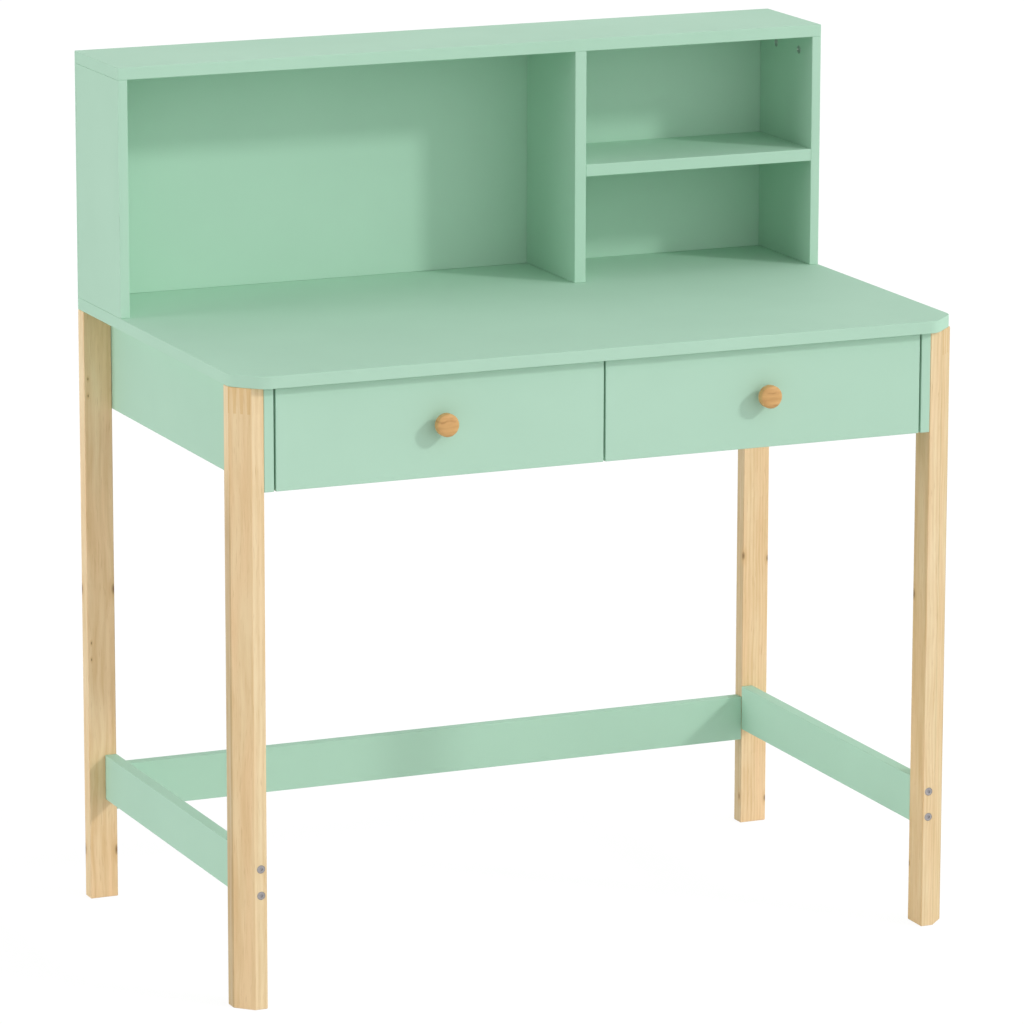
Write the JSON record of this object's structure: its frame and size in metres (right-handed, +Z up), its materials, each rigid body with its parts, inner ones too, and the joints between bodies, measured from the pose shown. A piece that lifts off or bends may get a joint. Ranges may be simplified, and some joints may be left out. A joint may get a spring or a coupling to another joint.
{
  "type": "kids desk",
  "caption": "Child's writing desk with painted boards on wooden legs, an open hutch with a shelf at the back, sliding drawers under the top and low rails between the legs.",
  "frame": {"origin": "on the floor, at the middle of the desk's box, which the drawer knobs and the hutch's rear screws bound in depth", "axes": "+Z up, +X to the right of someone who faces the drawers, +Y from the drawers to the back"},
  "size_m": [0.93, 0.558, 1.061],
  "materials": {
    "painted_board": "satin mint-green paint on fibreboard",
    "pine": "clear matt lacquer on pine with a straight grain",
    "knob_wood": "clear matt lacquer on an orange-brown wood",
    "dowel_wood": "plain beech",
    "runner_wood": "plain waxed hardwood",
    "screw_steel": "dull zinc-plated steel",
    "cam_zinc": "dull cast zinc"
  },
  "bodies": {
    "desk": {"back_left_leg": "pine", "back_leg_screws": "screw_steel", "back_lower_rail": "painted_board", "back_rail_cam_bolts": "screw_steel", "back_rail_cam_locks": "cam_zinc", "back_right_leg": "pine", "bracket_screws": "screw_steel", "case_back": "painted_board", "case_back_cam_bolts": "screw_steel", "case_back_cam_locks": "cam_zinc", "case_divider": "painted_board", "case_divider_screws": "screw_steel", "case_left_side": "painted_board", "case_right_side": "painted_board", "desktop": "painted_board", "desktop_brackets": "screw_steel", "dowels": "dowel_wood", "drawer_stops": "runner_wood", "front_left_leg": "pine", "front_leg_screws": "screw_steel", "front_right_leg": "pine", "hutch_back_panel": "painted_board", "hutch_back_screws": "screw_steel", "hutch_base_screws": "screw_steel", "hutch_cam_bolts": "screw_steel", "hutch_cam_locks": "cam_zinc", "hutch_divider": "painted_board", "hutch_left_side": "painted_board", "hutch_right_side": "painted_board", "hutch_shelf": "painted_board", "hutch_top": "painted_board", "left_drawer_runners": "runner_wood", "left_lower_rail": "painted_board", "leg_to_case_screws": "screw_steel", "right_drawer_runners": "runner_wood", "right_lower_rail": "painted_board", "runner_screws": "screw_steel", "stop_screws": "screw_steel"},
    "left_drawer": {"left_drawer_back": "painted_board", "left_drawer_bottom": "painted_board", "left_drawer_cam_bolts": "screw_steel", "left_drawer_cam_locks": "cam_zinc", "left_drawer_front": "painted_board", "left_drawer_inner_side": "painted_board", "left_drawer_knob": "knob_wood", "left_drawer_knob_screw": "screw_steel", "left_drawer_outer_side": "painted_board", "left_drawer_screws": "screw_steel"},
    "right_drawer": {"right_drawer_back": "painted_board", "right_drawer_bottom": "painted_board", "right_drawer_cam_bolts": "screw_steel", "right_drawer_cam_locks": "cam_zinc", "right_drawer_front": "painted_board", "right_drawer_inner_side": "painted_board", "right_drawer_knob": "knob_wood", "right_drawer_knob_screw": "screw_steel", "right_drawer_outer_side": "painted_board", "right_drawer_screws": "screw_steel"}
  },
  "joints": [
    {"name": "left_drawer_slide", "type": "slide", "parent": "desk", "child": "left_drawer", "axis": [0, -1, 0], "range_m": [0, 0.27]},
    {"name": "right_drawer_slide", "type": "slide", "parent": "desk", "child": "right_drawer", "axis": [0, -1, 0], "range_m": [0, 0.27]}
  ]
}
